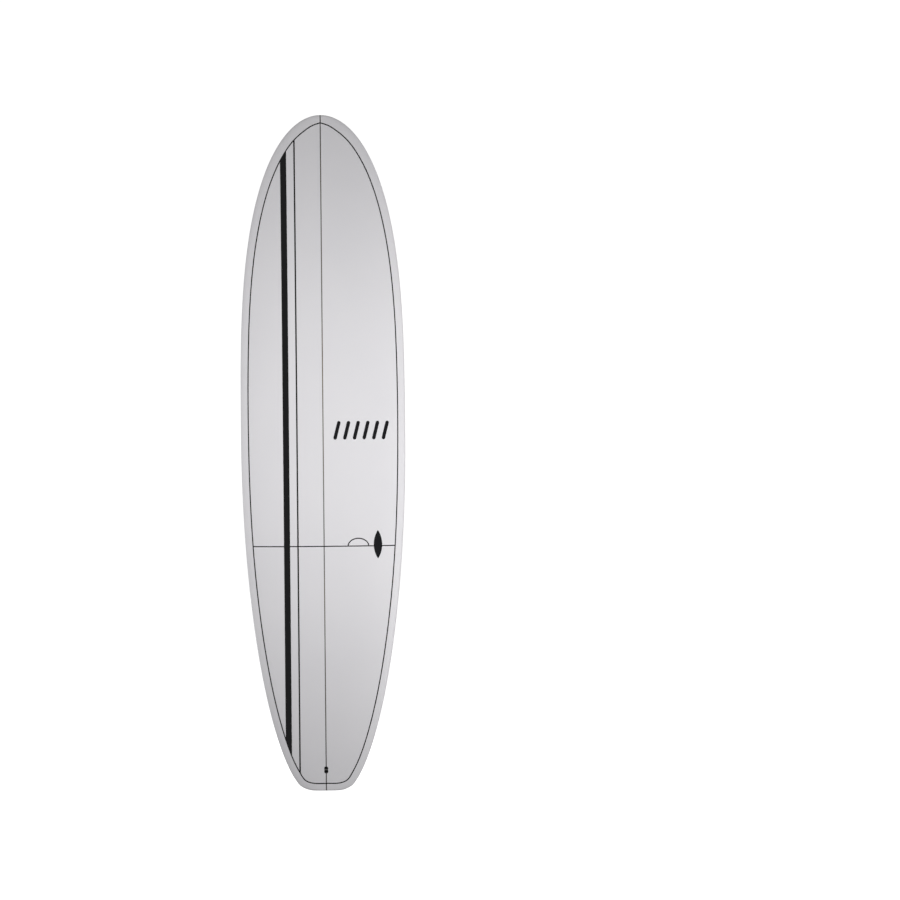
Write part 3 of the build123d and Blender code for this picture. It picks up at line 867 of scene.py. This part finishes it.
def cross_line():
    """The line across the deck in its stretches between the other graphics, and its hump."""
    z = CROSS_LINE_HEIGHT + CROSS_LINE_WIDTH / 2 * np.linspace(-1, 1, LINE_COLUMNS)
    edge, beside = pin_x(z, PIN_WIDTH / 2), lozenge_half(z)
    ends = [
        (-edge, WIDE_STRIPE_X - WIDE_STRIPE_WIDTH / 2),
        (WIDE_STRIPE_X + WIDE_STRIPE_WIDTH / 2, THIN_STRIPE_X - THIN_STRIPE_WIDTH / 2),
        (THIN_STRIPE_X + THIN_STRIPE_WIDTH / 2, LOZENGE_X - beside),
        (LOZENGE_X + beside, edge),
    ]
    grids = []
    for start, end in ends:
        level, x = between(z, start, end, SHORT_ROWS)
        grids.append((x, level))
    columns = []
    for inset in np.linspace(0, CROSS_LINE_WIDTH, LINE_COLUMNS):
        across_half, rise = HUMP_HALF_LENGTH - inset, HUMP_RISE - inset
        foot = math.asin(CROSS_LINE_WIDTH / 2 / rise)
        angle = np.linspace(foot, math.pi - foot, SHORT_ROWS)
        columns.append((HUMP_X + across_half * np.cos(angle), CROSS_LINE_HEIGHT + rise * np.sin(angle)))
    grids.append((np.array([c[0] for c in columns]), np.array([c[1] for c in columns])))
    graphic("cross_line_paint", DECK, grids, "black_paint", ["cross_line"])


def bars():
    """A row of plain slanted bars."""
    along = eased(-BAR_LENGTH / 2, BAR_LENGTH / 2, SHORT_ROWS)
    half = stadium_half(along, BAR_LENGTH, BAR_WIDTH)
    along, beside = between(along, -half, half, BROAD_COLUMNS)
    grids = []
    for i in range(BAR_COUNT):
        middle = BARS_X + BAR_PITCH * (i - (BAR_COUNT - 1) / 2)
        x = middle + along * math.sin(BAR_LEAN) + beside * math.cos(BAR_LEAN)
        z = BARS_HEIGHT + along * math.cos(BAR_LEAN) - beside * math.sin(BAR_LEAN)
        grids.append((x, z))
    graphic("deck_bars_print", DECK, grids, "black_decal", ["deck_bars"])


def label():
    """A plain rounded rectangle under the bottom's gloss."""
    length, width = LABEL_SIZE
    x = eased(-length / 2, length / 2, SHORT_ROWS)
    into_corner = np.clip(abs(x) - (length / 2 - LABEL_CORNER), 0, LABEL_CORNER)
    half = width / 2 - LABEL_CORNER + np.sqrt(LABEL_CORNER**2 - into_corner**2)
    x, z = between(x, LABEL_HEIGHT - half, LABEL_HEIGHT + half, BROAD_COLUMNS)
    graphic("bottom_label_print", BOTTOM, [(x, z)], "orange_decal", ["bottom_label"])


def ring_grid(outer, inner, rows):
    """Grid between two ellipses, given by how far each lies inside the oval's edge."""
    angle = np.linspace(0, 2 * math.pi, 2 * SHORT_ROWS)[None, :]
    inset = np.linspace(outer, inner, rows)[:, None]
    across_half = np.maximum(OVAL_SIZE[0] / 2 - inset, 0)
    rise = np.maximum(OVAL_SIZE[1] / 2 - inset, 0)
    return across_half * np.cos(angle), OVAL_HEIGHT + rise * np.sin(angle)


def oval():
    """A plain oval with a thin pale ring inside its edge."""
    inner = RING_INSET + RING_WIDTH
    share = np.linspace(1, 0, BROAD_COLUMNS)[:, None]
    x, z = ring_grid(inner, inner, 1)
    disc = (share * x, OVAL_HEIGHT + share * (z - OVAL_HEIGHT))
    border = ring_grid(0, RING_INSET, LINE_COLUMNS)
    graphic("bottom_oval_print", BOTTOM, [border, disc], "black_decal", ["bottom_oval"], wrapped=True)
    ring = ring_grid(RING_INSET, inner, LINE_COLUMNS)
    graphic("oval_ring_print", BOTTOM, [ring], "pale_decal", ["oval_ring"], wrapped=True)


def stringer_face(name, side, cutters):
    """The wooden stringer where it shows through the glass."""
    z = eased(STRINGER_END, LENGTH - STRINGER_END, STRIPE_ROWS)
    z, x = between(z, -STRINGER / 2, STRINGER / 2, LINE_COLUMNS)
    graphic(name, side, [(x, z)], "stringer_wood", proud=WOOD_PROUD, cutters=cutters)


def cad_finishes():
    """The CAD nodes that stay get the material that has their plain one's name."""
    for node in frame["nodes"].values():
        for place in node.material_slots:
            place.material = MATERIALS[place.material.name.split(".")[0]]


# ---- Studio ----------------------------------------------------------------------------------
CAMERA_AWAY = 4.169
CAMERA_HEIGHT = LENGTH / 2
CAMERA_LENS = 48.9            # lens and sensor in mm
CAMERA_SENSOR = 36
CAMERA_SHIFT = (0.1408, 0.0057)
CAMERA_ROLL = math.radians(-0.54)

FACE_LIGHT_PLACE = (0.2, 1.05, 0.06)   # to one side, off the face, above the middle
FACE_LIGHT_SIZE = (2.2, 1.4)
FACE_LIGHT_WATTS = 13.6
TAIL_LIGHT_PLACE = (1.2, 0.45, 0.3)    # to one side, off the face, above the floor
TAIL_LIGHT_SIZE = (0.4, 0.6)
TAIL_LIGHT_WATTS = 2.2
RAIL_LIGHT_PLACE = (1.5, 0.15)         # to one side, above the middle
RAIL_LIGHT_SIZE = (0.4, 1.2)
RAIL_LIGHT_WATTS = 4
WORLD_SEEN = 1.05                      # strength of the white behind the board
WORLD_LIT = 0.31                       # and its strength as a light
FLOOR_REACH = 6.0
FLOOR_HEIGHT = -0.5 * MM
FLOOR_WHITE = (0.85, 0.85, 0.85)
FLOOR_GLOW = 0.85


def camera():
    """Square to the deck from its own height, with the board to the left in the picture."""
    data = bpy.data.cameras.new("camera")
    data.lens, data.sensor_width = CAMERA_LENS, CAMERA_SENSOR
    data.shift_x, data.shift_y = CAMERA_SHIFT
    eye = bpy.data.objects.new("camera", data)
    turned = Matrix.Rotation(math.pi / 2, 4, "X") @ Matrix.Rotation(CAMERA_ROLL, 4, "Z")
    eye.matrix_world = Matrix.Translation((0, -CAMERA_AWAY, CAMERA_HEIGHT)) @ turned
    bpy.context.scene.collection.objects.link(eye)
    bpy.context.scene.camera = eye


def soft_light(name, place, target, size, power):
    """A rectangular light that the gloss doesn't mirror."""
    data = bpy.data.lights.new(name, "AREA")
    data.shape = "RECTANGLE"
    data.size, data.size_y = size
    data.energy = power
    lamp = bpy.data.objects.new(name, data)
    lamp.location = place
    lamp.rotation_mode = "QUATERNION"
    lamp.rotation_quaternion = (Vector(target) - Vector(place)).to_track_quat("-Z", "Y")
    lamp.visible_glossy = False
    bpy.context.scene.collection.objects.link(lamp)


def floor():
    """A pale floor that neither lights the board nor shows in its gloss."""
    mesh = bpy.data.meshes.new("floor")
    signs = ((-1, -1), (1, -1), (1, 1), (-1, 1))
    corners = [(x * FLOOR_REACH, y * FLOOR_REACH, FLOOR_HEIGHT) for x, y in signs]
    mesh.from_pydata(corners, [], [(0, 1, 2, 3)])
    piece = bpy.data.objects.new("floor", mesh)
    material = Nodes("pale_floor").set(
        Base_Color=FLOOR_WHITE,
        Roughness=0.9,
        Emission_Color=(1, 1, 1),
        Emission_Strength=FLOOR_GLOW,
    )
    mesh.materials.append(material)
    piece.visible_diffuse = False
    piece.visible_glossy = False
    bpy.context.scene.collection.objects.link(piece)


def world():
    """White behind the board, but dimmer as a light, so that the soft lights shape it."""
    sky = bpy.data.worlds.new("studio")
    bpy.context.scene.world = sky
    sky.use_nodes = True
    tree = sky.node_tree
    tree.nodes.clear()
    path = tree.nodes.new("ShaderNodeLightPath")
    mix = tree.nodes.new("ShaderNodeMixShader")
    out = tree.nodes.new("ShaderNodeOutputWorld")
    tree.links.new(path.outputs["Is Camera Ray"], mix.inputs[0])
    for i, strength in enumerate((WORLD_LIT, WORLD_SEEN)):
        white = tree.nodes.new("ShaderNodeBackground")
        white.inputs["Color"].default_value = (1, 1, 1, 1)
        white.inputs["Strength"].default_value = strength
        tree.links.new(white.outputs[0], mix.inputs[i + 1])
    tree.links.new(mix.outputs[0], out.inputs["Surface"])


def studio():
    bpy.context.scene.view_settings.view_transform = "Standard"
    camera()
    world()
    floor()
    middle = LENGTH / 2
    for name, side in (("deck", -1), ("bottom", 1)):
        x, y, z = FACE_LIGHT_PLACE
        place = (-side * x, side * y, middle + z)
        soft_light(f"{name}_light", place, (0, 0, middle), FACE_LIGHT_SIZE, FACE_LIGHT_WATTS)
        x, y, z = TAIL_LIGHT_PLACE
        place = (-side * x, side * y, z)
        soft_light(f"{name}_side_light", place, (0, 0, z), TAIL_LIGHT_SIZE, TAIL_LIGHT_WATTS)
    for name, side in (("port", -1), ("starboard", 1)):
        x, z = RAIL_LIGHT_PLACE
        place = (side * x, 0, middle + z)
        soft_light(f"{name}_rail_light", place, (0, 0, middle + z), RAIL_LIGHT_SIZE, RAIL_LIGHT_WATTS)


def main():
    studio()
    deck_cutter, bottom_cutter = deck_opening(), bottom_openings()
    bottom_skin(bottom_cutter)
    deck_skin(deck_cutter)
    pinline()
    stripe("wide_stripe_paint", WIDE_STRIPE_X, WIDE_STRIPE_WIDTH, "wide_stripe")
    stripe("thin_stripe_paint", THIN_STRIPE_X, THIN_STRIPE_WIDTH, "thin_stripe")
    cross_line()
    lozenge()
    bars()
    label()
    oval()
    stringer_face("deck_stringer_face", DECK, deck_cutter)
    stringer_face("bottom_stringer_face", BOTTOM, bottom_cutter)
    for cutter in (deck_cutter, bottom_cutter):
        bpy.data.objects.remove(cutter)
    cad_finishes()


main()
